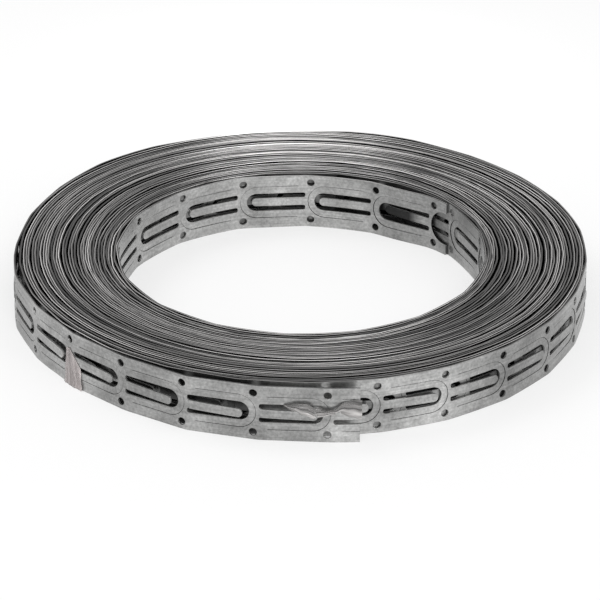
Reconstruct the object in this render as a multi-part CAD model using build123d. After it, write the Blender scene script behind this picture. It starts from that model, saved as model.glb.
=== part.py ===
from build123d import *
import os
from math import cos, degrees, radians, sin

# A coil of perforated steel mounting strip, lying flat. The origin is on the
# coil's axis at its underside, +Z is up, and the loose outer end faces -Y.
# Angles are in degrees, anticlockwise seen from above. The strip is wound
# anticlockwise from its inner end outwards. It bends beside each pair of nail
# holes and stays flat between, so a turn is a polygon with a side for each
# pressed element. Near its outer end the bends have opened, so the end stands off
# the turn beneath.

# The strip
strip_width = 20.0
strip_thickness = 0.6
turn_gap = 0.4
hole_pitch = 23.65

# One pressed element, measured along the strip from its pair of nail holes
hole_diameter = 2.7
hole_spacing = 14.1
hole_sides = 6
round_pairs = (0, 2, 6, 10, 14, 18)
slot_width = 1.8
slot_leg_spacing = 4.8
bend_offset = 1.62
slot_start = 1.9
slot_end = 22.4
loop_width = 11.8
loop_end = 24.7

# The coil
bore_radius = 60.5
outer_radius = 97.6
turn_step = 1.1
wound_end_angle = -125.8
loose_end_overhang = 11.6
loose_bends = (5.8, 12.1, 17.4, 10.0)    # at elements 0, 1, 2 and 3
inner_end_angle = 36.8
inner_end_overhang = 5.5
inner_end_step = 1.4
inner_relief_angle = 46.0

# The turns that show on both ends, about one for every two real ones. They have
# fewer sides than the outer turn, because they are shorter.
shown_turns = 16
shown_turn_sides = 20
turn_relief = 0.9
edge_land = 1.2

# The clear tapes on the loose end and on the outer turn
tape_thickness = 0.2
end_tape_length = 22.8
end_tape_width = 5.2
end_tape_waist = 2.2
end_tape_height = 11.8
edge_tape_width = 9.4
edge_tape_top_width = 4.4
edge_tape_height = 14.0
edge_tape_element = 4
edge_tape_offset = 3.2

mid_height = strip_width / 2
loose_root = len(loose_bends) - 1
cut_depth = strip_thickness + turn_gap
outer_pitch_angle = degrees(hole_pitch / (outer_radius - turn_step / 2))
inner_pitch_angle = degrees(hole_pitch / bore_radius)
sides_per_turn = round(360 / outer_pitch_angle)
inner_elements = int((360 - inner_relief_angle) / inner_pitch_angle) + 1
first_pair_angle = inner_end_angle + degrees(inner_end_overhang / bore_radius)


def at(radius, angle):
    """The point on the plan at this radius and angle."""
    return Vector(radius * cos(radians(angle)), radius * sin(radians(angle)))


def wound_kink(element):
    """A bend of the outer turn, where this element's side starts, counted from the loose end."""
    radius = outer_radius - turn_step * element / sides_per_turn
    return at(radius, wound_end_angle - (element - loose_root) * outer_pitch_angle)


def heading(element):
    """The way along the strip from the bend where this element's side starts."""
    if element > loose_root:
        return (wound_kink(element - 1) - wound_kink(element)).normalized()
    return heading(element + 1).rotate(Axis.Z, loose_bends[element])


def kink(element):
    """The same bend, also on the loose end, which leaves the coil at its root."""
    if element >= loose_root:
        return wound_kink(element)
    return kink(element + 1) + heading(element + 1) * hole_pitch


def element_plane(element):
    """The face that an outer element is punched in: X along the strip, Z outwards."""
    along = heading(element)
    origin = kink(element) - along * bend_offset + Vector(0, 0, mid_height)
    return Plane(origin=origin, x_dir=along, z_dir=along.cross(Vector(0, 0, 1)))


def wall_plane(radius, angle):
    """The plane that touches a round wall at this angle: X along the strip, Y up."""
    normal = at(1, angle)
    origin = at(radius, angle) + Vector(0, 0, mid_height)
    return Plane(origin=origin, x_dir=Vector(0, 0, 1).cross(normal), z_dir=normal)


def turn_plan():
    """The wound part of the strip seen from above, flat from kink to kink."""
    kinks = [kink(element) for element in range(loose_root, sides_per_turn + loose_root)]
    under = kinks[0] - kinks[0].normalized() * strip_thickness
    return make_face(Polyline(*kinks, under, close=True))


def loose_end_line():
    """The outer face of the strip's outer end seen from above, bent where its bends have opened."""
    bends = [kink(element) for element in range(loose_root, -1, -1)]
    cut_end = bends[-1] + heading(0) * (loose_end_overhang - bend_offset)
    return Polyline(*bends, cut_end)


def layer_plan(thickness, side):
    """A layer of this thickness on one side of the loose end's outer face, seen from above."""
    return make_face(offset(loose_end_line(), thickness, kind=Kind.INTERSECTION, side=side))


def cone_between(low_radius, low_height, high_radius, high_height):
    """A solid that tapers between two turns' outlines."""
    low = Pos(0, 0, low_height) * RegularPolygon(low_radius, shown_turn_sides)
    high = Pos(0, 0, high_height) * RegularPolygon(high_radius, shown_turn_sides)
    return loft([low.face(), high.face()], ruled=True)


def turn_grooves():
    """Rings cut from both ends, so that the edges of the turns stand as ridges."""
    first = bore_radius + inner_end_step + edge_land
    last = outer_radius - turn_step - edge_land
    width = (last - first) / shown_turns
    grooves = []
    for turn in range(shown_turns):
        inner = first + turn * width
        middle = inner + width / 2
        floor = strip_width - turn_relief
        groove = cone_between(middle, floor, inner + width, strip_width)
        groove -= cone_between(middle, floor, inner, strip_width)
        grooves += [groove, mirror(groove, Plane.XY.offset(mid_height))]
    return grooves


def inner_relief():
    """The second turn's face, set back clockwise of the strip's inner end."""
    start = inner_end_angle - inner_relief_angle
    middle = inner_end_angle - inner_relief_angle / 2
    under = bore_radius - inner_end_step
    rim = ThreePointArc(at(bore_radius, start), at(bore_radius + 0.65 * inner_end_step, middle),
                        at(bore_radius + inner_end_step, inner_end_angle))
    back = ThreePointArc(at(under, inner_end_angle), at(under, middle), at(under, start))
    sides = [Line(rim @ 1, back @ 0), Line(back @ 1, rim @ 0)]
    return extrude(make_face([rim, back] + sides), strip_width)


def u_slot():
    """The open U of one element, its legs pointing back to the nail holes."""
    leg = slot_leg_spacing / 2
    outer = leg + slot_width / 2
    inner = leg - slot_width / 2
    far = slot_end - outer
    return make_face([
        Line((slot_start, -outer), (far, -outer)),
        ThreePointArc((far, -outer), (slot_end, 0), (far, outer)),
        Line((far, outer), (slot_start, outer)),
        Line((slot_start, outer), (slot_start, inner)),
        Line((slot_start, inner), (far, inner)),
        ThreePointArc((far, inner), (far + inner, 0), (far, -inner)),
        Line((far, -inner), (slot_start, -inner)),
        Line((slot_start, -inner), (slot_start, -outer)),
    ])


def punch(plane, shape):
    """The cutter that takes this shape one turn deep out of this plane."""
    return extrude(plane * shape, cut_depth, both=True)


def nail_holes(plane, is_round):
    """The cutters for a pair of nail holes. Most are six-sided, to keep the solid light."""
    radius = hole_diameter / 2
    hole = Circle(radius) if is_round else RegularPolygon(radius, hole_sides)
    return [punch(plane, Pos(0, side * hole_spacing / 2) * hole) for side in (-1, 1)]


def outer_punching():
    """The elements of the outer turn. A side holds one slot and the next element's nail holes."""
    cutters = [punch(element_plane(0), u_slot())]
    for element in range(1, sides_per_turn + 1):
        plane = element_plane(element)
        cutters.append(punch(plane, u_slot()))
        cutters += nail_holes(plane * Pos(hole_pitch, 0, 0), element - 1 in round_pairs)
    return cutters


def inner_punching():
    """The elements of the inner turn, and the half-round gap in the strip's inner end."""
    cutters = []
    for element in range(inner_elements):
        angle = first_pair_angle + element * inner_pitch_angle
        middle = angle + degrees(slot_end / 2 / bore_radius)
        cutters.append(punch(wall_plane(bore_radius, middle), Pos(-slot_end / 2, 0) * u_slot()))
        cutters += nail_holes(wall_plane(bore_radius, angle), False)
    past = loop_end - hole_pitch
    centre = past - loop_width / 2
    length = centre + 2 * inner_end_overhang
    gap = Pos(centre - length / 2, 0) * Rectangle(length, loop_width)
    gap += Pos(centre, 0) * Circle(loop_width / 2)
    return cutters + [punch(wall_plane(bore_radius, first_pair_angle), gap)]


def strip_coil():
    """The wound strip as one solid with its bore."""
    body = extrude(turn_plan() + layer_plan(strip_thickness, Side.LEFT), strip_width)
    body -= Pos(0, 0, mid_height) * Cylinder(bore_radius, 2 * strip_width)
    body -= inner_relief()
    body -= turn_grooves()
    body -= outer_punching()
    return body - inner_punching()


def end_tape():
    """The film over the loose end, narrow where it crosses between the nail holes."""
    back = loose_end_overhang - end_tape_length
    height = end_tape_height - mid_height
    low = height - end_tape_width / 2
    high = height + end_tape_width / 2
    waist = end_tape_waist / 2
    outline = make_face(Polyline(
        (back, low), (0, height - waist), (loose_end_overhang, low),
        (loose_end_overhang, high), (0, height + waist), (back, high), close=True))
    skin = extrude(layer_plan(tape_thickness, Side.RIGHT), strip_width)
    return skin & extrude(element_plane(0) * outline, end_tape_length, both=True)


def edge_tape():
    """The film stuck over the lower half of the outer face, bent round with the strip."""
    base = -mid_height
    top = base + edge_tape_height
    wide = edge_tape_width / 2
    narrow = edge_tape_top_width / 2
    outline = make_face(Polyline((-wide, base), (wide, base), (narrow, top), (-narrow, top),
                                 close=True))
    plan = turn_plan()
    skin = extrude(offset(plan, tape_thickness, kind=Kind.INTERSECTION) - plan, strip_width)
    plane = element_plane(edge_tape_element) * Pos(edge_tape_offset, 0, 0)
    return skin & extrude(plane * outline, edge_tape_width, both=True)


os.makedirs("parts", exist_ok=True)
for node in (strip_coil, end_tape, edge_tape):
    export_step(node(), f"parts/{node.__name__}.step")
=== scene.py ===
import random
from bisect import bisect
from math import atan2, cos, degrees, exp, floor, pi, radians, sin

import bmesh
import bpy
from mathutils import Matrix, Vector


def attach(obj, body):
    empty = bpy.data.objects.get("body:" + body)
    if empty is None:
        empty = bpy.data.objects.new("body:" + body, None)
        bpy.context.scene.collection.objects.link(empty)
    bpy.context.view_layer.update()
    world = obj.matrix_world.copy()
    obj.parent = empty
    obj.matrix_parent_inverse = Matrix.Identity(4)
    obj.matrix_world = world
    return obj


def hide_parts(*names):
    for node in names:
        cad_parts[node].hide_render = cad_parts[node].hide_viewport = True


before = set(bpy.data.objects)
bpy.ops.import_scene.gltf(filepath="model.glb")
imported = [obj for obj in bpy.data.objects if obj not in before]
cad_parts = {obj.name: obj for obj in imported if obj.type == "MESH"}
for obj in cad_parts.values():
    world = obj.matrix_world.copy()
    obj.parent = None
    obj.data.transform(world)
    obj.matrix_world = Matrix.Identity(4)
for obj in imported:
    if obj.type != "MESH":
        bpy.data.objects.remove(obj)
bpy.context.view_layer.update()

mm = 0.001
print("frame loaded:", ", ".join(sorted(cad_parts)))


# The flat punched band. Lengths run along it from a pair of nail holes, and
# widths across it from its middle.
band = {
    "width": 19.5 * mm,
    "thickness": 0.6 * mm,
    "pitch": 23.65 * mm,         # from one pair of nail holes to the next
    "bendAt": 1.62 * mm,         # it bends just past each pair
    "holeRadius": 1.35 * mm,
    "holeSpacing": 14.1 * mm,
    "holeSides": 16,
    "notchSteps": 16,            # of the round end cut open at the inner end
    # each cut is a U: places along a leg with the cut's width there, then the round end
    "slot": {"spacing": 4.8 * mm, "end": 22.4 * mm, "steps": 12,
             "leg": ((1.9 * mm, 0.9 * mm), (2.15 * mm, 1.5 * mm), (2.6 * mm, 1.8 * mm))},
    "slit": {"spacing": 11.8 * mm, "end": 24.7 * mm, "steps": 14,
             "leg": ((4.5 * mm, 0.08 * mm), (5.0 * mm, 0.16 * mm))},
    "fineCuts": (0.03, 0.06, 0.16, 0.36, 0.57, 0.78, 0.94, 0.97),
    "plainCuts": (0.06, 0.35, 0.65, 0.94),
}

# How the band is wound, anticlockwise from its inner end outwards
coil = {
    "turns": 36,                 # whole turns, then on to where the loose end leaves the coil
    "innerEndAngle": 36.8,
    "looseRootAngle": -125.8,
    "looseHeadings": (-32.85, -15.45, -3.35, 2.6),    # of the loose end's sides
    "looseEnd": 8.7 * mm,        # band left past its last bend
    "openStretch": 1.012,        # how much longer the loose end's sides measure than the wound ones
    "openTurns": 0.08,           # how far back from the root they do
    "tightStretch": 0.997,       # the same for the rest of the outer turn
    "tightTurns": 1.1,
    "innerEndPast": 5.9 * mm,    # band left before its first nail holes
    # degrees past the inner end, with the radius in mm of the band's inner face there
    "innerFace": ((0, 62.35), (7, 61.75), (12, 61.0), (16, 60.25), (21, 59.8), (30, 59.55), (43, 59.4),
                  (59, 59.6), (65, 59.9), (71, 60.5), (79, 60.95), (88, 61.35), (103, 61.6), (116, 61.95),
                  (173, 61.8), (213, 61.35), (233, 61.5), (254, 61.7), (287, 62.0), (340, 62.5), (360, 63.25),
                  (372, 63.1), (384, 62.6), (396, 62.1), (410, 61.6), (425, 61.6), (440, 62.1), (463, 62.75),
                  (480, 63.0)),
    # degrees back from the loose end's root, with the radius in mm of the outer face's corners there
    "outerFace": ((0, 97.15), (15, 97.05), (29, 97.1), (42, 97.45), (50, 97.25), (57, 96.45), (70, 96.5),
                  (84, 96.9), (95, 97.7), (101, 98.05), (111, 97.7), (118, 97.0), (128, 96.3), (137, 96.35),
                  (144, 96.7), (150, 97.3), (156, 98.0), (160, 98.35), (166, 98.15), (177, 97.4),
                  (188, 97.2), (203, 97.2), (217, 97.15), (234, 96.6), (246, 96.3), (258, 96.5),
                  (276, 96.75), (284, 96.6), (295, 96.55), (303, 96.3), (312, 96.15), (324, 95.95),
                  (339, 95.75), (360, 95.6)),
    # the same degrees, with the gap in mm behind the outermost turn
    "outerGap": ((0, 1.0), (25, 1.15), (45, 0.9), (60, 0.6), (95, 0.5), (128, 0.45), (160, 0.65),
                 (200, 0.5), (260, 0.5), (310, 0.45), (360, 0.4)),
    "innerTurns": 1.28,          # turns that follow the first table
    "outerTurns": 1.08,          # turns that follow the second one
    "tableFade": 0.08,           # turns over which they run into the others
    "knots": 12,                 # places in a turn where its gap is set
    "gapSpread": 1.15,           # how much the gaps differ
    "gapStep": 0.19,             # turns over which a gap changes
    "bendWidth": 0.12,           # share of half a side that a bend takes up
    "innerBends": 0.2,           # how far the pressed turns keep their bends
    "freeTurns": (2.2, 2.4),     # turns that keep more of them, near the bore and near the outside
    "boreBends": 0.4,            # how much more, near the bore
    "backBends": 0.25,           # share of the outer turns' bends that is left at the back
    "lift": 0.42 * mm,           # how unevenly the turns stand on the floor
    "liftWaves": ((0.3, 0.4), (1, 0.35), (2.6, 0.25)),    # waves in a turn, with their share
    "outerPunched": 62,          # sides with their cuts, from the outer end
    "innerPunched": 37,
    "seed": 11,
}


def unitPart(x):
    # held between 0 and 1
    return min(1.0, max(0.0, x))


rng = random.Random(coil["seed"])
windTurns = coil["turns"] + ((coil["looseRootAngle"] - coil["innerEndAngle"]) % 360) / 360
looseSides = len(coil["looseHeadings"])


def onTable(table, x):
    # smooth curve through the rows of a table
    i = min(max(bisect(table, (x,)) - 1, 0), len(table) - 2)
    slopes = []
    for k in (i, i + 1):
        low, high = table[max(k - 1, 0)], table[min(k + 1, len(table) - 1)]
        slopes.append((high[1] - low[1]) / (high[0] - low[0]))
    (x0, y0), (x1, y1) = table[i], table[i + 1]
    f = min(max((x - x0) / (x1 - x0), 0), 1)
    a, b = slopes[0] * (x1 - x0), slopes[1] * (x1 - x0)
    return y0 + f * (a + f * (3 * (y1 - y0) - 2 * a - b + f * (2 * (y0 - y1) + a + b)))


gapSteps = int(windTurns / coil["gapStep"]) + 3
looseness = [(k * coil["gapStep"], rng.uniform(-1, 1)) for k in range(gapSteps)]


def knotTable():
    # radius of the band's inner face at each knot, counted from the loose end's root inwards
    knots = coil["knots"]
    table = [0.0] * (int(windTurns * knots) + 2)
    for start in range(knots):
        back = 360 * start / knots
        places = list(range(start, len(table), knots))[::-1]
        inner = [place for place in places if windTurns - place / knots < coil["innerTurns"] + 0.02]
        for place in inner:
            table[place] = onTable(coil["innerFace"], 360 * (windTurns - place / knots)) * mm
        radius = table[inner[-1]]
        rest = places[len(inner):]
        rough = [exp(coil["gapSpread"] * onTable(looseness, windTurns - place / knots))
                 for place in rest[:-1]]
        outer = onTable(coil["outerFace"], back) * mm - band["thickness"]
        last = onTable(coil["outerGap"], back) * mm
        share = (outer - radius - band["thickness"] * len(rest) - last) / sum(rough)
        for place, gap in zip(rest, [share * r for r in rough] + [last]):
            radius += band["thickness"] + gap
            table[place] = radius
    return table


knotRadii = knotTable()


def baseRadius(turn):
    # from the tables on the turns that show, and smooth through the knots between them
    back = windTurns - turn
    place = back * coil["knots"]
    i = min(max(int(floor(place)), 0), len(knotRadii) - 2)
    f = place - i
    a, b, c, d = (knotRadii[min(max(i + k, 0), len(knotRadii) - 1)] for k in (-1, 0, 1, 2))
    middle = b + 0.5 * f * (c - a + f * (2 * a - 5 * b + 4 * c - d + f * (3 * (b - c) + d - a)))
    inside = unitPart((coil["innerTurns"] - turn) / coil["tableFade"])
    outside = unitPart((coil["outerTurns"] - back) / coil["tableFade"])
    if inside:
        middle += inside * (onTable(coil["innerFace"], 360 * turn) * mm - middle)
    if outside:
        middle += outside * (onTable(coil["outerFace"], 360 * back) * mm - band["thickness"] - middle)
    return middle


def frontness(turn):
    # 1 where this turn of the coil faces the front, and -1 at the back
    return -sin(radians(coil["innerEndAngle"]) + 2 * pi * turn)


def bendShare(turn):
    # the free turns are flat between their bends, most at the front, and the pressed ones lie nearly round
    fewInside, fewOutside = coil["freeTurns"]
    atBack = coil["backBends"]
    outside = max(0.0, 1 - (windTurns - turn) / fewOutside) ** 1.2
    outside *= atBack + (1 - atBack) * unitPart(1.6 * frontness(turn))
    inside = max(0.0, 1 - turn / fewInside) ** 1.2
    return coil["innerBends"] + (1 - coil["innerBends"]) * outside + coil["boreBends"] * inside


def bendTable():
    # turns at which the band bends, from beside its first nail holes to the loose end's root
    first = (coil["innerEndPast"] + band["bendAt"]) / (2 * pi * 62 * mm)
    bends = [first]
    while bends[-1] < windTurns:
        arc = band["pitch"] / (baseRadius(bends[-1]) + band["thickness"] / 2)
        if windTurns - bends[-1] < coil["openTurns"]:
            arc *= coil["openStretch"]
        elif windTurns - bends[-1] < coil["tightTurns"]:
            arc *= coil["tightStretch"]
        bends.append(bends[-1] + (arc + bendShare(bends[-1]) * arc ** 3 / 24) / (2 * pi))
    if bends[-1] - windTurns > windTurns - bends[-2]:
        bends.pop()
    stretch = (windTurns - first) / (bends[-1] - first)
    return [first + (turn - first) * stretch for turn in bends]


bends = bendTable()
sides = len(bends) - 1
bendAmount = [rng.uniform(0.65, 1.2) for _ in range(sides)]
liftWaves = [(rng.uniform(0.7, 1.3) * f, rng.uniform(0, 2 * pi), a) for f, a in coil["liftWaves"]]
print("wound on", round(windTurns, 2), "turns with", sides, "sides")


def turnAt(side):
    i = min(max(int(floor(side)), 0), sides - 1)
    return bends[i] + (bends[i + 1] - bends[i]) * (side - i)


def sideDip(share):
    # 0 at a bend and 1 in the middle of a flat side, with the bend rounded
    x = abs(2 * share - 1)
    wide = coil["bendWidth"]
    return 1 - x * x if x < 1 - wide else wide + (1 - wide) / wide * (1 - x) ** 2


def bandLine(side):
    # the plan line of the band's inner face, this many sides from its first bend
    turn = turnAt(side)
    i = min(max(int(floor(side)), 0), sides - 1)
    radius = baseRadius(turn)
    amount = bendShare(turn)
    if amount < 0.9:
        amount *= bendAmount[i]
    half = pi * (bends[i + 1] - bends[i])
    if side >= 0:
        radius -= (radius + band["thickness"]) * (1 - cos(half)) * amount * sideDip(side - i)
    angle = radians(coil["innerEndAngle"]) + 2 * pi * turn
    return Vector((radius * cos(angle), radius * sin(angle), 0))


loosePitch = band["pitch"] * coil["openStretch"]


def looseKinks():
    # the bends of the loose end, from its root to its last one
    angle = radians(coil["looseRootAngle"])
    points = [Vector((cos(angle), sin(angle), 0)) * baseRadius(windTurns)]
    for heading in coil["looseHeadings"][:-1]:
        points.append(points[-1] + Vector((cos(radians(heading)), sin(radians(heading)), 0)) * loosePitch)
    return points


kinks = looseKinks()
rootAlong = (kinks[0] - bandLine(sides - 1)).normalized()
headings = [Vector((cos(radians(h)), sin(radians(h)), 0)) for h in coil["looseHeadings"]]


def looseLine(side):
    # the plan line past the root: straight sides with rounded bends
    i = min(int(floor(side - sides)), looseSides - 1)
    past = (side - sides - i) * loosePitch
    along = headings[i]
    point = kinks[i] + along * past
    wide = coil["bendWidth"] * loosePitch / 2
    before = headings[i - 1] if i else rootAlong
    after = headings[min(i + 1, looseSides - 1)]
    for away, other in ((past, before), (loosePitch - past, after)):
        if 0 <= away < wide:
            point += Vector((-along.y, along.x, 0)) * along.angle(other) * (wide - away) ** 2 / (4 * wide)
    return point


def planLine(side):
    return bandLine(side) if side <= sides else looseLine(side)


lineCache = {}


def bandFrame(along):
    # point, outward direction and height of the band at this distance past its first bend
    key = round(along / mm, 4)
    if key not in lineCache:
        side = along / band["pitch"]
        heading = (planLine(side + 0.02) - planLine(side - 0.02)).normalized()
        turn = turnAt(min(side, sides))
        free = unitPart(turn / 2) * unitPart((windTurns - turn) / 2)
        wave = sum(a * sin(f * 2 * pi * turn + p) for f, p, a in liftWaves)
        lift = coil["lift"] * free * (0.5 + 0.5 * wave)
        lineCache[key] = (planLine(side), Vector((heading.y, -heading.x, 0)), lift)
    return lineCache[key]


def windOn(flat, out=0.0):
    # a point of the flat band, placed on the coil
    point, outwards, lift = bandFrame(flat.x)
    spot = point + outwards * (flat.z + out)
    spot.z = band["width"] / 2 + flat.y + lift
    return spot


def drawEdgeTo(bm, edge, x, middle, width):
    made = bmesh.ops.extrude_edge_only(bm, edges=[edge])["geom"]
    ends = [v for v in made if isinstance(v, bmesh.types.BMVert)]
    low, high = sorted(ends, key=lambda v: v.co.y)
    low.co = (x, middle - width / 2, 0)
    high.co = (x, middle + width / 2, 0)
    return next(e for e in low.link_edges if e.other_vert(low) == high)


def cutOutline(bm, cut):
    # the rim of a U-shaped cut: a short edge drawn along one leg, spun round the end and drawn back
    leg = cut["spacing"] / 2
    width = cut["leg"][-1][1]
    far = cut["end"] - leg - width / 2
    places = list(cut["leg"]) + [(far, width)]
    x, w = places[0]
    edge = bm.edges.new([bm.verts.new((x, -leg + k * w / 2, 0)) for k in (-1, 1)])
    for x, w in places[1:]:
        edge = drawEdgeTo(bm, edge, x, -leg, w)
    spun = bmesh.ops.spin(bm, geom=[edge] + list(edge.verts), cent=(far, 0, 0), axis=(0, 0, 1),
                          angle=pi, steps=cut["steps"])["geom_last"]
    edge = next(e for e in spun if isinstance(e, bmesh.types.BMEdge))
    for x, w in reversed(places[:-1]):
        edge = drawEdgeTo(bm, edge, x, leg, w)
    inside = [e for e in bm.edges if len(e.link_faces) == 2]
    bmesh.ops.delete(bm, geom=inside, context="EDGES")


def fillFlat(bm, cuts):
    # fill between the outlines, then cut across wherever the side will bend or flex
    bmesh.ops.triangle_fill(bm, edges=bm.edges[:], use_beauty=True, normal=(0, 0, 1))
    for cut in cuts:
        bmesh.ops.bisect_plane(bm, geom=bm.verts[:] + bm.edges[:] + bm.faces[:], dist=1e-7,
                               plane_co=(band["bendAt"] + cut * band["pitch"], 0, 0), plane_no=(1, 0, 0))


def rectangleOutline(bm, start, end):
    size = Matrix.Diagonal((end - start, band["width"], 1, 1))
    place = Matrix.Translation(((start + end) / 2, 0, 0)) @ size
    bmesh.ops.create_grid(bm, x_segments=1, y_segments=1, size=0.5, matrix=place)
    bmesh.ops.delete(bm, geom=bm.faces[:], context="FACES_ONLY")


def nailHoles(bm, x):
    for side in (-1, 1):
        place = Matrix.Translation((x, side * band["holeSpacing"] / 2, 0))
        bmesh.ops.create_circle(bm, segments=band["holeSides"], radius=band["holeRadius"], matrix=place)


def sidePanel(punched):
    # one side of the band, flat, from bend to bend
    bm = bmesh.new()
    if punched:
        cutOutline(bm, band["slot"])
        cutOutline(bm, band["slit"])
        nailHoles(bm, band["pitch"])
    rectangleOutline(bm, band["bendAt"], band["bendAt"] + band["pitch"])
    fillFlat(bm, band["fineCuts"] if punched else band["plainCuts"])
    if not punched:
        bmesh.ops.join_triangles(bm, faces=bm.faces[:], angle_face_threshold=pi, angle_shape_threshold=pi)
    bmesh.ops.translate(bm, verts=bm.verts[:], vec=(-band["bendAt"], 0, 0))
    return bm


def innerEndPanel():
    # the inner end, cut through an element's round end, so that it is a fork
    bm = bmesh.new()
    notch = band["slit"]["spacing"] / 2
    middle = band["slit"]["end"] - band["pitch"] - notch
    start, half = -coil["innerEndPast"], band["width"] / 2
    corners = ((middle, notch), (start, notch), (start, half), (band["bendAt"], half),
               (band["bendAt"], -half), (start, -half), (start, -notch), (middle, -notch))
    line = [bm.verts.new((x, y, 0)) for x, y in corners]
    for a, b in zip(line, line[1:]):
        bm.edges.new((a, b))
    bmesh.ops.spin(bm, geom=[line[-1]], cent=(middle, 0, 0), axis=(0, 0, 1),
                   angle=pi, steps=band["notchSteps"])
    bmesh.ops.remove_doubles(bm, verts=bm.verts[:], dist=0.01 * mm)
    nailHoles(bm, 0)
    fillFlat(bm, (-0.2, -0.1))
    bmesh.ops.translate(bm, verts=bm.verts[:], vec=(-band["bendAt"], 0, 0))
    return bm


def flatBand():
    # every side laid end to end in one flat mesh
    whole = bmesh.new()
    kinds = {"plain": sidePanel(False), "punched": sidePanel(True), "innerEnd": innerEndPanel()}
    meshes = {}
    for name, part in kinds.items():
        bmesh.ops.recalc_face_normals(part, faces=part.faces[:])
        if sum(f.normal.z for f in part.faces) < 0:
            bmesh.ops.reverse_faces(part, faces=part.faces[:])
        meshes[name] = bpy.data.meshes.new(name)
        part.to_mesh(meshes[name])
        part.free()
    order = ["innerEnd"]
    for side in range(sides + looseSides):
        fine = side < coil["innerPunched"] or side > sides - coil["outerPunched"]
        order.append("punched" if fine else "plain")
    for place, name in enumerate(order):
        old = len(whole.verts)
        whole.from_mesh(meshes[name])
        whole.verts.ensure_lookup_table()
        shift = max(0, place - 1) * band["pitch"]
        bmesh.ops.translate(whole, verts=whole.verts[old:], vec=(shift, 0, 0))
    end = (sides + looseSides - 1) * band["pitch"] + coil["looseEnd"]
    bmesh.ops.bisect_plane(whole, geom=whole.verts[:] + whole.edges[:] + whole.faces[:], dist=1e-7,
                           plane_co=(end, 0, 0), plane_no=(1, 0, 0), clear_outer=True)
    joints = [v for v in whole.verts if abs(abs(v.co.y) - band["width"] / 2) < 1e-6]
    bmesh.ops.remove_doubles(whole, verts=joints, dist=0.005 * mm)
    for mesh in meshes.values():
        bpy.data.meshes.remove(mesh)
    return whole


# The pressed tongues stand out on the outermost turn and the loops lie a little below its face
springing = {
    "tongue": 1.5 * mm,          # most that a tip stands out on the outermost turn, at the front
    "farTongue": 0.5 * mm,       # the same on the sides and at the back
    "loop": -0.16 * mm,
    "innerTongue": 0.32 * mm,    # the same near the bore
    "innerLoop": 0.24 * mm,
    "elements": (17, 27),        # elements that spring, at the bore and on the outer turn
    "tongueHalf": 1.55 * mm,     # half a tongue's width
    "tongueTip": 20.6 * mm,      # where it ends
    "crease": 5.0 * mm,          # where a loop starts to rise
    "slitReach": 0.14 * mm,      # how near a slit's middle its walls are
    "slitShade": 0.06,            # painted shade on them, as a factor on their colour
    "pushedBack": 2.0 * mm,      # the tongue next to the inner end
    "pushedFrom": 6.0 * mm,      # from here on it gets painted shade
    "pushedShade": 0.93,         # how dark that painted shade is
    "loose": (0.5 * mm, 1.2 * mm, 1.8 * mm, 1.6 * mm),    # the tongues of the loose end, from its cut
}


def springTable():
    table = {}
    atBore, outside = springing["elements"]
    for side in range(atBore):
        tongue = springing["innerTongue"] * rng.uniform(0.5, 1)
        table[side] = (tongue, springing["innerLoop"] * rng.uniform(0.7, 1))
    for side in range(sides - outside, sides + looseSides):
        atFront = unitPart(2.5 * frontness(turnAt(min(side, sides))) - 0.5)
        most = springing["farTongue"] + (springing["tongue"] - springing["farTongue"]) * atFront
        tongue = most * rng.uniform(0.45, 1)
        table[side] = (tongue, springing["loop"] * rng.uniform(0.6, 1))
    table[0] = (springing["pushedBack"], springing["innerLoop"])
    for k, tongue in enumerate(springing["loose"]):
        table[sides + looseSides - 1 - k] = (tongue, springing["loop"] * 0.7)
    return table


lifts = springTable()


def inElement(x):
    # distance past the nail holes that this place on the flat band belongs to
    return x % band["pitch"] + band["bendAt"]


def loopReach(s, y):
    # how far a place is from the middle line of the loop, to compare with half the slit's spacing
    slit = band["slit"]
    past = max(0.0, s - (slit["end"] - slit["spacing"] / 2 - slit["leg"][-1][1] / 2))
    return Vector((past, y)).length


def springOut(flat):
    side = int(floor(flat.x / band["pitch"]))
    if side not in lifts:
        return 0.0
    s = flat.x - side * band["pitch"] + band["bendAt"]
    tongue, loop = lifts[side]
    start, crease = band["slot"]["leg"][0][0], springing["crease"]
    tip, slit = springing["tongueTip"], band["slit"]
    if abs(flat.y) < springing["tongueHalf"] and s < tip + 0.1 * mm:
        power = 0.5 if side >= sides else 1.1    # the loose ones bend at their root
        return tongue * (max(0.0, s - start) / (tip - start)) ** power
    if s > crease and loopReach(s, flat.y) < slit["spacing"] / 2:
        return loop * (s - crease) / (slit["end"] - crease)
    return 0.0


def pushedBack(flat):
    # on the tongue next to the inner end, past its root
    s = flat.x + band["bendAt"]
    onIt = abs(flat.y) < springing["tongueHalf"] + 0.05 * mm
    return onIt and springing["pushedFrom"] < s < springing["tongueTip"] + 0.1 * mm


def inSlit(face):
    # a side face of a fine slit, on the flat band, which gets painted shade
    if abs(face.normal.z) > 0.5:
        return False
    spot = face.calc_center_median()
    s = inElement(spot.x)
    away = abs(loopReach(s, spot.y) - band["slit"]["spacing"] / 2)
    return s > 4.4 * mm and away < springing["slitReach"]


# Painted shade on the faces hidden between the turns: how dark they lie, from 0 to 1
gapShading = {
    "beneath": (0.2, 0.75),      # least and most on the next turn down, which the slots show
    "first": 0.5,                # the same before the first bend
    "startsAt": 0.98,            # turns in from an end where the next turn down starts
    "fade": 0.04,                # turns over which it darkens
    "underEnd": 0.84,            # painted shade beneath the loose end
    "underFrom": 0.9,            # turns back from the root where that starts, and how soon it is full
    "underFade": 0.03,
    "endInside": 0.3,            # painted shade on the loose end's own inner face
}
shades = [rng.uniform(*gapShading["beneath"]) for _ in range(sides)]


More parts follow.
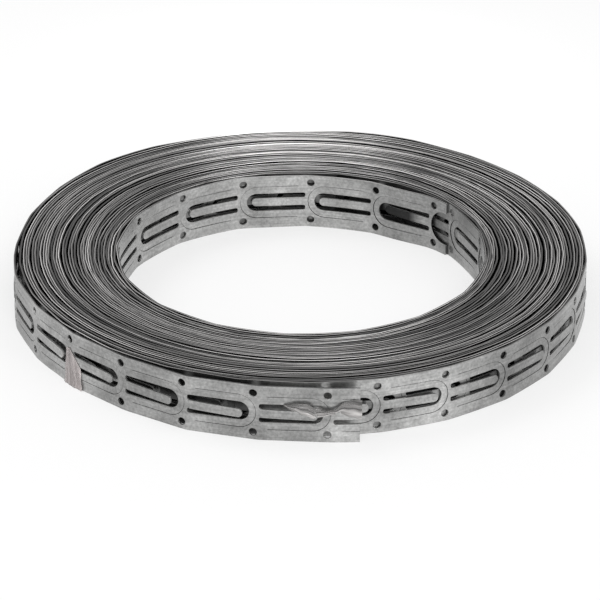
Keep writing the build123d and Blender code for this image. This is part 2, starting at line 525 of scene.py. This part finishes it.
def gapShadeShare(free, shade):
    # painted shade: 0 on the turn that shows, the shade on the next one down and 1 below that
    nextDown = unitPart((free - gapShading["startsAt"]) / gapShading["fade"])
    furtherDown = unitPart((free - 1 - gapShading["startsAt"]) / gapShading["fade"])
    return shade * nextDown + (1 - shade) * furtherDown


# painted shade for a place on the flat band, by how deep it lies in the coil
def gapShadeAt(flat, turn):
    onFace = flat.z > band["thickness"] / 2
    back = windTurns - turn
    # painted shade on the pushed-back tongue
    if pushedBack(flat):
        return springing["pushedShade"]
    if flat.x > sides * band["pitch"]:
        return 0.0 if onFace else gapShading["endInside"]
    if onFace and gapShading["underFrom"] < back < 1:
        return gapShading["underEnd"] * unitPart((back - gapShading["underFrom"]) / gapShading["underFade"])
    shade = shades[min(int(flat.x / band["pitch"]), sides - 1)] if flat.x > 0 else gapShading["first"]
    return gapShadeShare(back if onFace else turn, shade)


# Painted light and shade on the steel, at degrees round the coil, as factors on its colour
paintedShadingRound = {
    "outerFace": ((-180, 0.62), (-165, 0.68), (-157, 1), (-143, 1.2), (-128, 0.92), (-112, 0.95), (-98, 1),
                  (-82, 1.1), (-68, 1.12), (-52, 1), (-40, 0.72), (-30, 0.78), (-15, 0.85), (0, 1), (42, 1),
                  (67, 1), (97, 1), (127, 1), (152, 0.9), (180, 0.62)),
    "innerFace": ((-180, 1), (-40, 1), (-30, 1), (-15, 0.9), (0, 0.85), (42, 0.82), (67, 1.03), (97, 1.28),
                  (127, 1.22), (152, 0.98), (180, 1)),
    "nearBore": ((-180, 1), (-105, 0.75), (-75, 1.2), (-45, 0.8), (-15, 0.85), (15, 0.95), (45, 1.05),
                 (75, 0.6), (105, 1), (135, 0.95), (165, 1.05), (180, 1)),
    "nearOutside": ((-180, 1), (-105, 1), (-75, 1.15), (-45, 0.9), (-15, 0.95), (15, 1.1), (45, 1.6),
                    (75, 1), (105, 1.35), (135, 1), (165, 1), (180, 1)),
    "faceTurns": 1.1,            # turns that the first two are for
    "between": (72, 86),         # radii in mm from one of the last two to the other
}


# painted light and shade for a place, by its angle round the coil and how deep it lies
def paintedShadingAt(spot, back, turn):
    angle = degrees(atan2(spot.y, spot.x))
    if back < paintedShadingRound["faceTurns"]:
        return onTable(paintedShadingRound["outerFace"], angle)
    if turn < paintedShadingRound["faceTurns"]:
        return onTable(paintedShadingRound["innerFace"], angle)
    low, high = paintedShadingRound["between"]
    part = unitPart((Vector((spot.x, spot.y)).length / mm - low) / (high - low))
    inner = onTable(paintedShadingRound["nearBore"], angle)
    return inner + part * (onTable(paintedShadingRound["nearOutside"], angle) - inner)


uvSize = 0.1    # metres of band in one step of its UV map


def woundStrip():
    bm = flatBand()
    bmesh.ops.solidify(bm, geom=bm.faces[:], thickness=band["thickness"])
    low = min(v.co.z for v in bm.verts)
    bmesh.ops.translate(bm, verts=bm.verts[:], vec=(0, 0, -low))
    bmesh.ops.recalc_face_normals(bm, faces=bm.faces[:])
    uv = bm.loops.layers.uv.new("along")
    gapShade = bm.verts.layers.float.new("gapShade")
    depth = bm.verts.layers.float.new("depth")
    slitShadeMask = bm.loops.layers.float.new("slitShadeMask")
    paintedShading = bm.verts.layers.float.new("paintedShading")
    for face in bm.faces:
        # painted shade in the fine slits, so that they show as dark lines
        light = springing["slitShade"] if inSlit(face) else 1.0
        for loop in face.loops:
            loop[uv].uv = (loop.vert.co.x / uvSize, loop.vert.co.y / uvSize)
            loop[slitShadeMask] = light
    for vert in bm.verts:
        turn = turnAt(min(vert.co.x / band["pitch"], sides))
        # painted shade where the turns hide each other
        vert[gapShade] = gapShadeAt(vert.co, turn)
        vert[depth] = vert.co.z / band["thickness"]
        vert.co = windOn(vert.co, springOut(vert.co))
        # painted light and shade round the coil
        vert[paintedShading] = paintedShadingAt(vert.co, windTurns - turn, turn)
    bmesh.ops.recalc_face_normals(bm, faces=bm.faces[:])
    mesh = bpy.data.meshes.new("punched_strip")
    bm.to_mesh(mesh)
    bm.free()
    triangles = sum(len(p.vertices) - 2 for p in mesh.polygons)
    print("strip:", len(mesh.vertices), "vertices", triangles, "triangles")
    return bpy.data.objects.new("punched_strip", mesh)


def node(tree, kind, **values):
    made = tree.nodes.new(kind)
    for key, value in values.items():
        if key in made.inputs.keys():
            made.inputs[key].default_value = value
        else:
            setattr(made, key, value)
    return made


def link(tree, source, target):
    tree.links.new(source, target)


def newMaterial(name):
    material = bpy.data.materials.new(name)
    material.use_nodes = True
    return material, material.node_tree, material.node_tree.nodes["Principled BSDF"]


def ramp(tree, factor, stops):
    # a colour ramp with grey or coloured stops
    made = node(tree, "ShaderNodeValToRGB")
    elements = made.color_ramp.elements
    while len(elements) < len(stops):
        elements.new(0.5)
    for element, (position, colour) in zip(elements, stops):
        element.position = position
        element.color = (*((colour,) * 3 if isinstance(colour, (int, float)) else colour), 1)
    link(tree, factor, made.inputs["Fac"])
    return made.outputs["Color"]


def noise(tree, vector, stretch, scale, detail=4.0, roughness=0.55):
    place = node(tree, "ShaderNodeMapping")
    place.inputs["Scale"].default_value = stretch
    link(tree, vector, place.inputs["Vector"])
    made = node(tree, "ShaderNodeTexNoise", Scale=scale, Detail=detail, Roughness=roughness)
    link(tree, place.outputs["Vector"], made.inputs["Vector"])
    return made.outputs["Fac"]


def blend(tree, kind, factor, first, second):
    made = node(tree, "ShaderNodeMix", data_type="RGBA", blend_type=kind)
    sockets = (made.inputs[0], made.inputs[6], made.inputs[7])
    for value, target in zip((factor, first, second), sockets):
        if isinstance(value, (int, float)):
            target.default_value = value
        elif isinstance(value, tuple):
            target.default_value = (*value, 1)
        else:
            link(tree, value, target)
    return made.outputs[2]


steel = {
    "dark": (0.225, 0.225, 0.222),
    "light": (0.42, 0.42, 0.415),
    "edge": (0.005, 0.0048, 0.0048),       # the long slit edges, dull and dark
    "edgeLight": (0.1, 0.095, 0.092),
    "edgeHighlight": (0.9, 0.88, 0.87),             # a thin painted highlight along them
    "cutWall": (0.5, 0.5, 0.495),          # the walls of the punched cuts
    # painted shade for the faces hidden between the turns
    "gapShadeColour": (0.012, 0.0125, 0.013),
    "metallic": 0.85,
    "roughness": ((0.3, 0.27), (0.7, 0.42)),
    "grainScale": 1100.0,
    "smudgeScale": 75.0,
    "lineStretch": (2.2, 130.0, 1),        # fine rolling lines, long in the band's direction
    "patchStretch": (3.0, 3.5, 1),
    "edgeStretch": (0.3, 0.0, 1),
    "edgeHighlightStretch": (0.6, 0.0, 1),
    "longEdge": ((0.0955, 0.0), (0.0965, 1.0)),    # where the long edges are in the UV map
    "bump": 0.35,
    "bumpDepth": 0.00004,
}


def steelMaterial():
    material, tree, shader = newMaterial("galvanised_steel")
    shader.inputs["Metallic"].default_value = steel["metallic"]
    spot = node(tree, "ShaderNodeTexCoord").outputs["Object"]
    along = node(tree, "ShaderNodeUVMap", uv_map="along").outputs["UV"]
    depth = node(tree, "ShaderNodeAttribute", attribute_name="depth").outputs["Fac"]
    gapShade = node(tree, "ShaderNodeAttribute", attribute_name="gapShade").outputs["Fac"]
    paintedShading = node(tree, "ShaderNodeAttribute", attribute_name="paintedShading").outputs["Fac"]
    slitShadeMask = node(tree, "ShaderNodeAttribute", attribute_name="slitShadeMask").outputs["Fac"]
    grain = noise(tree, spot, (1, 1, 1), steel["grainScale"], 3.0)
    smudge = noise(tree, spot, (1, 1, 1), steel["smudgeScale"], 5.0, 0.6)
    lines = noise(tree, along, steel["lineStretch"], 1.0, 4.0, 0.6)
    patches = noise(tree, along, steel["patchStretch"], 1.0, 2.0)
    face = ramp(tree, smudge, ((0.3, steel["dark"]), (0.7, steel["light"])))
    face = blend(tree, "OVERLAY", 0.55, face, ramp(tree, grain, ((0.3, 0.3), (0.7, 0.7))))
    face = blend(tree, "OVERLAY", 0.5, face, ramp(tree, lines, ((0.3, 0.33), (0.7, 0.67))))
    face = blend(tree, "OVERLAY", 0.35, face, ramp(tree, patches, ((0.35, 0.35), (0.65, 0.65))))
    # painted shade: the faces hidden between the turns go nearly black
    face = blend(tree, "MULTIPLY", 1.0, face, blend(tree, "MIX", gapShade, (1, 1, 1), steel["gapShadeColour"]))
    # the long edges: a dull band that varies from turn to turn, with painted shade on its inner part and a
    # thin painted highlight along one side
    edgeTone = noise(tree, along, steel["edgeStretch"], 1.0, 3.0, 0.6)
    edgeHighlightTone = noise(tree, along, steel["edgeHighlightStretch"], 1.0, 3.0, 0.6)
    edge = ramp(tree, edgeTone, ((0.38, steel["edge"]), (0.62, steel["edgeLight"])))
    edge = blend(tree, "OVERLAY", 0.2, edge, ramp(tree, grain, ((0.3, 0.25), (0.7, 0.75))))
    # painted shade on the inner part of the edge
    edge = blend(tree, "MULTIPLY", 1.0, edge, ramp(tree, depth, ((0.2, 0.04), (0.36, 1.0))))
    # painted highlight along the outer part of the edge
    edgeHighlight = blend(tree, "MULTIPLY", 1.0, ramp(tree, depth, ((0.6, 0.0), (0.76, 1.0))),
                 ramp(tree, edgeHighlightTone, ((0.44, 0.0), (0.6, 1.0))))
    edgeHighlightShare = ramp(tree, gapShade, ((0.1, 0.12), (0.5, 1.0)))    # the painted highlight is weak on the turns that show
    edgeHighlight = blend(tree, "MULTIPLY", 1.0, edgeHighlight, edgeHighlightShare)
    edge = blend(tree, "MIX", edgeHighlight, edge, steel["edgeHighlight"])
    across = node(tree, "ShaderNodeSeparateXYZ")
    link(tree, along, across.inputs[0])
    fromMiddle = node(tree, "ShaderNodeMath", operation="ABSOLUTE")
    link(tree, across.outputs["Y"], fromMiddle.inputs[0])
    onEdge = ramp(tree, fromMiddle.outputs[0], steel["longEdge"])
    rim = blend(tree, "MIX", onEdge, steel["cutWall"], edge)
    onRim = ramp(tree, depth, ((0.0, 0.0), (0.02, 1.0), (0.98, 1.0), (1.0, 0.0)))
    # painted shade in the fine slits
    colour = blend(tree, "MULTIPLY", 1.0, blend(tree, "MIX", onRim, face, rim), slitShadeMask)
    # painted light and shade scale the colour
    withPaintedShading = node(tree, "ShaderNodeVectorMath", operation="SCALE")
    link(tree, colour, withPaintedShading.inputs[0])
    link(tree, paintedShading, withPaintedShading.inputs["Scale"])
    link(tree, withPaintedShading.outputs[0], shader.inputs["Base Color"])
    link(tree, ramp(tree, smudge, steel["roughness"]), shader.inputs["Roughness"])
    bump = node(tree, "ShaderNodeBump", Strength=steel["bump"], Distance=steel["bumpDepth"])
    link(tree, blend(tree, "MIX", 0.5, grain, lines), bump.inputs["Height"])
    link(tree, bump.outputs["Normal"], shader.inputs["Normal"])
    return material


strip = woundStrip()
bpy.context.scene.collection.objects.link(strip)
strip.data.materials.append(steelMaterial())
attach(strip, "root")
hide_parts("strip_coil")
print("strip wound")


def holeLine(element):
    # distance past the first bend of this pair of nail holes, counted from the loose end
    return (sides + looseSides - 1 - element) * band["pitch"] - band["bendAt"]


# The film stuck over the lower half of the outer face. Its corners are mm along
# from a pair of nail holes and up from the band's middle.
edgeFilm = {
    "element": 4,
    "bottom": ((-3.4, -9.75), (6.0, -9.75)),
    "top": ((-2.0, 3.2), (0.2, 3.9), (5.3, -2.0)),
    "thickness": 0.07 * mm,
    "clearance": 0.16 * mm,
    # each fold's place across, its width and its height in mm
    "folds": ((0.14, 0.06, 0.32), (0.36, 0.08, 0.12), (0.62, 0.07, 0.1), (0.95, 0.05, 0.4)),
    "foot": 0.25,                # how far the bottom edge waves and stands off, in mm
    "columns": 44,
    "rows": 30,
    "dark": (0.42, 0.375, 0.37),
    "light": (0.78, 0.71, 0.7),
    # painted light and shade across the film: highlights along its two tallest folds
    "paintedShadingAcross": ((0.0, 0.8), (0.12, 1.0), (0.22, 0.75), (0.8, 0.8), (0.93, 1.0)),
    "thick": (0.42, 0.62),       # how much it hides
}


def onPath(points, share):
    # a point this far along a line through the points
    place = min(max(share, 0), 1) * (len(points) - 1)
    i = min(int(place), len(points) - 2)
    return tuple(a + (b - a) * (place - i) for a, b in zip(points[i], points[i + 1]))


def finishFilm(bm, name, made, replaced):
    bmesh.ops.recalc_face_normals(bm, faces=bm.faces[:])
    bmesh.ops.solidify(bm, geom=bm.faces[:], thickness=made["thickness"])
    bmesh.ops.recalc_face_normals(bm, faces=bm.faces[:])
    for face in bm.faces:
        face.smooth = True
    mesh = bpy.data.meshes.new(name)
    bm.to_mesh(mesh)
    bm.free()
    mesh.materials.append(filmMaterial(name, made))
    piece = bpy.data.objects.new(name, mesh)
    bpy.context.scene.collection.objects.link(piece)
    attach(piece, "root")
    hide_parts(replaced)
    print(name, "laid on")


def edgeFilmSheet():
    bm = bmesh.new()
    bmesh.ops.create_grid(bm, x_segments=edgeFilm["columns"], y_segments=edgeFilm["rows"], size=0.5)
    uv = bm.loops.layers.uv.new("along")
    for face in bm.faces:
        for loop in face.loops:
            loop[uv].uv = (loop.vert.co.x + 0.5, loop.vert.co.y + 0.5)
    start = holeLine(edgeFilm["element"])
    for vert in bm.verts:
        across, up = vert.co.x + 0.5, vert.co.y + 0.5
        low, high = onPath(edgeFilm["bottom"], across), onPath(edgeFilm["top"], across)
        s, v = (a + (b - a) * up for a, b in zip(low, high))
        s += edgeFilm["foot"] * sin(9 * up) * (1 - up)
        out = edgeFilm["clearance"] + edgeFilm["foot"] * mm * (1 - up) ** 4
        for middle, wide, high in edgeFilm["folds"]:
            away = (across - middle - 0.04 * sin(5 * up)) / wide
            out += high * mm * exp(-away ** 2) * (1 - 0.6 * up)
        vert.co = windOn(Vector((start + s * mm, v * mm, band["thickness"])), out)
    return bm


# The twisted film along the loose end. Each row is mm along from the last pair of nail
# holes, up from the band's middle, its width, its lean in degrees and how far it stands out.
endFilm = {
    "rows": ((-13.9, 3.2, 0.8, 40, 0.1), (-12.4, 3.1, 1.8, 25, 0.5), (-10.5, 2.8, 3.0, 8, 1.0),
             (-7.5, 2.4, 4.2, -6, 1.15), (-5.6, 2.0, 4.0, -10, 1.25), (-4.0, 1.3, 3.5, -8, 1.15),
             (-2.0, 1.2, 3.6, 10, 0.6), (0.0, 1.2, 3.1, 35, 0.4), (1.9, 1.5, 3.0, 30, 0.4),
             (4.5, 2.5, 4.3, 8, 0.5), (7.1, 2.6, 5.8, -5, 0.5), (10.9, 2.4, 6.5, -8, 0.5)),
    "thickness": 0.07 * mm,
    "crumples": ((0.13, 14, 0.8), (0.08, 23, -0.5)),    # height in mm, waves across, drift along
    "least": 0.09,               # mm that it always stands off the band
    "columns": 110,
    "across": 14,
    "dark": (0.2, 0.195, 0.192),
    "light": (0.62, 0.6, 0.59),
    # painted light and shade across the twisted film: one half lighter, a dark line near the middle
    "paintedShadingAcross": ((0.0, 1.0), (0.4, 0.85), (0.52, 0.2), (0.6, 0.42), (1.0, 0.36)),
    "thick": (0.55, 0.78),
}


def endFilmSheet():
    bm = bmesh.new()
    bmesh.ops.create_grid(bm, x_segments=endFilm["columns"], y_segments=endFilm["across"], size=0.5)
    uv = bm.loops.layers.uv.new("along")
    for face in bm.faces:
        for loop in face.loops:
            loop[uv].uv = (loop.vert.co.y + 0.5, loop.vert.co.x * 3 + 1.5)
    tables = [[(row[0], row[k]) for row in endFilm["rows"]] for k in range(1, 5)]
    first, last = endFilm["rows"][0][0], endFilm["rows"][-1][0]
    for vert in bm.verts:
        s = first + (last - first) * (vert.co.x + 0.5)
        middle, wide, lean, out = (onTable(table, s) for table in tables)
        across = vert.co.y * wide
        crumple = sum(a * sin(f * vert.co.y + p * s) for a, f, p in endFilm["crumples"])
        v = middle + across * cos(radians(lean)) + 0.12 * sin(1.7 * s)
        out = max(endFilm["least"], out + across * sin(radians(lean)) + crumple)
        vert.co = windOn(Vector((holeLine(0) + s * mm, v * mm, band["thickness"])), out * mm)
    return bm


def filmMaterial(name, made):
    material, tree, shader = newMaterial(name)
    shader.inputs["Metallic"].default_value = 0.0
    shader.inputs["IOR"].default_value = 1.5
    along = node(tree, "ShaderNodeUVMap", uv_map="along").outputs["UV"]
    spot = node(tree, "ShaderNodeTexCoord").outputs["Object"]
    across = node(tree, "ShaderNodeSeparateXYZ")
    link(tree, along, across.inputs[0])
    streaks = noise(tree, along, (5.0, 0.8, 1), 1.0, 2.0, 0.5)
    haze = noise(tree, spot, (1, 1, 1), 150.0, 2.0)
    colour = ramp(tree, streaks, ((0.36, made["dark"]), (0.62, made["light"])))
    # painted light and shade across the film
    paintedShading = ramp(tree, across.outputs["X"], made["paintedShadingAcross"])
    link(tree, blend(tree, "MULTIPLY", 1.0, colour, paintedShading), shader.inputs["Base Color"])
    thin, thick = made["thick"]
    link(tree, ramp(tree, haze, ((0.35, thin), (0.65, thick))), shader.inputs["Alpha"])
    link(tree, ramp(tree, haze, ((0.3, 0.16), (0.7, 0.3))), shader.inputs["Roughness"])
    bump = node(tree, "ShaderNodeBump", Strength=0.3, Distance=0.0001)
    link(tree, streaks, bump.inputs["Height"])
    link(tree, bump.outputs["Normal"], shader.inputs["Normal"])
    return material


finishFilm(edgeFilmSheet(), "edge_film", edgeFilm, "edge_tape")
finishFilm(endFilmSheet(), "twisted_film", endFilm, "end_tape")


studio = {
    "elevation": 26.803,
    "distance": 1.65238,
    "roll": 0.4563,
    "pan": -0.00609,
    "tilt": 0.02818,
    "lens": 291.97,
    "sensor": 36.0,
    "floorSize": 6.0,
    "worldLevel": 0.75,
    "floorWhite": {"Camera": 0.6, "Glossy": 0.9, "Transmission": 0.6},
    "worldWhite": {"Camera": 1.0, "Glossy": 1.0, "Transmission": 1.0},
    "hollow": 0.012,             # metres that the floor looks for cover
    # how the painted shade in the hollows grows with their depth
    "hollowShade": ((0.12, 0.0), (0.38, 1.0)),
    # name, place, what it points at, size and watts
    "lamps": (("soft_key", (-0.9, 0.5, 1.2), (0, 0, 0), 0.8, 5),
              ("front_top", (0.2, -1.3, 0.95), (0, 0, 0), 0.6, 8),
              ("back_glow", (0.0, 0.22, 0.09), (0, 0.09, 0.02), 0.07, 0.05),
              ("front_fill", (0.68, -0.84, 0.09), (0.03, -0.09, 0.01), 0.14, 4.0)),
}


def addCamera():
    # the camera's place and aim, found from the coil's rims and nail holes
    e = radians(studio["elevation"])
    place = Vector((0, -cos(e), sin(e))) * studio["distance"]
    forward = -place.normalized()
    right = Vector((1, 0, 0))
    up = right.cross(forward)
    pan, tilt, roll = (radians(studio[k]) for k in ("pan", "tilt", "roll"))
    forward, right = cos(pan) * forward + sin(pan) * right, cos(pan) * right - sin(pan) * forward
    forward, up = cos(tilt) * forward + sin(tilt) * up, cos(tilt) * up - sin(tilt) * forward
    right, up = cos(roll) * right + sin(roll) * up, cos(roll) * up - sin(roll) * right
    data = bpy.data.cameras.new("camera")
    data.lens = studio["lens"]
    data.sensor_width = studio["sensor"]
    data.clip_end = 20
    camera = bpy.data.objects.new("camera", data)
    camera.matrix_world = Matrix.Translation(place) @ Matrix((right, up, -forward)).transposed().to_4x4()
    bpy.context.scene.collection.objects.link(camera)
    bpy.context.scene.camera = camera


def addLamp(name, place, target, size, power):
    data = bpy.data.lights.new(name, "AREA")
    data.size = size
    data.energy = power
    lamp = bpy.data.objects.new(name, data)
    lamp.visible_camera = False
    aim = (Vector(target) - Vector(place)).to_track_quat("-Z", "Y")
    lamp.matrix_world = Matrix.Translation(place) @ aim.to_matrix().to_4x4()
    bpy.context.scene.collection.objects.link(lamp)


def viewerShare(tree, rays):
    # how much of the plain white each kind of ray sees: from the camera, in reflections, through film
    path = node(tree, "ShaderNodeLightPath")
    share = None
    for name, value in rays.items():
        part = node(tree, "ShaderNodeMath", operation="MULTIPLY")
        link(tree, path.outputs["Is " + name + " Ray"], part.inputs[0])
        part.inputs[1].default_value = value
        if share:
            both = node(tree, "ShaderNodeMath", operation="MAXIMUM")
            link(tree, share, both.inputs[0])
            link(tree, part.outputs[0], both.inputs[1])
            part = both
        share = part.outputs[0]
    return share


def addFloor():
    bm = bmesh.new()
    bmesh.ops.create_grid(bm, x_segments=1, y_segments=1, size=studio["floorSize"] / 2)
    mesh = bpy.data.meshes.new("floor")
    bm.to_mesh(mesh)
    bm.free()
    floorPiece = bpy.data.objects.new("floor", mesh)
    bpy.context.scene.collection.objects.link(floorPiece)
    material = bpy.data.materials.new("pale_floor")
    material.use_nodes = True
    tree = material.node_tree
    tree.nodes.clear()
    diffuse = node(tree, "ShaderNodeBsdfDiffuse", Color=(0.9, 0.9, 0.9, 1))
    glow = node(tree, "ShaderNodeEmission", Color=(1, 1, 1, 1), Strength=1.0)
    # painted shade: ambient occlusion takes the floor's white glow away deep in the coil's gaps, so it stays
    # dark there
    hollow = node(tree, "ShaderNodeAmbientOcclusion", Distance=studio["hollow"])
    openness = ramp(tree, hollow.outputs["AO"], studio["hollowShade"])
    factor = node(tree, "ShaderNodeMath", operation="MULTIPLY")
    mix = node(tree, "ShaderNodeMixShader")
    output = node(tree, "ShaderNodeOutputMaterial")
    link(tree, viewerShare(tree, studio["floorWhite"]), factor.inputs[0])
    link(tree, openness, factor.inputs[1])
    link(tree, factor.outputs[0], mix.inputs[0])
    link(tree, diffuse.outputs[0], mix.inputs[1])
    link(tree, glow.outputs[0], mix.inputs[2])
    link(tree, mix.outputs[0], output.inputs[0])
    mesh.materials.append(material)


def setWorld():
    world = bpy.data.worlds.new("studio")
    bpy.context.scene.world = world
    world.use_nodes = True
    tree = world.node_tree
    tree.nodes.clear()
    soft = node(tree, "ShaderNodeBackground", Color=(1, 1, 1, 1), Strength=studio["worldLevel"])
    white = node(tree, "ShaderNodeBackground", Color=(1, 1, 1, 1), Strength=1.0)
    mix = node(tree, "ShaderNodeMixShader")
    output = node(tree, "ShaderNodeOutputWorld")
    link(tree, viewerShare(tree, studio["worldWhite"]), mix.inputs[0])
    link(tree, soft.outputs[0], mix.inputs[1])
    link(tree, white.outputs[0], mix.inputs[2])
    link(tree, mix.outputs[0], output.inputs[0])


addCamera()
addFloor()
setWorld()
for lamp in studio["lamps"]:
    addLamp(*lamp)
bpy.context.scene.view_settings.view_transform = "Standard"
print("studio ready")
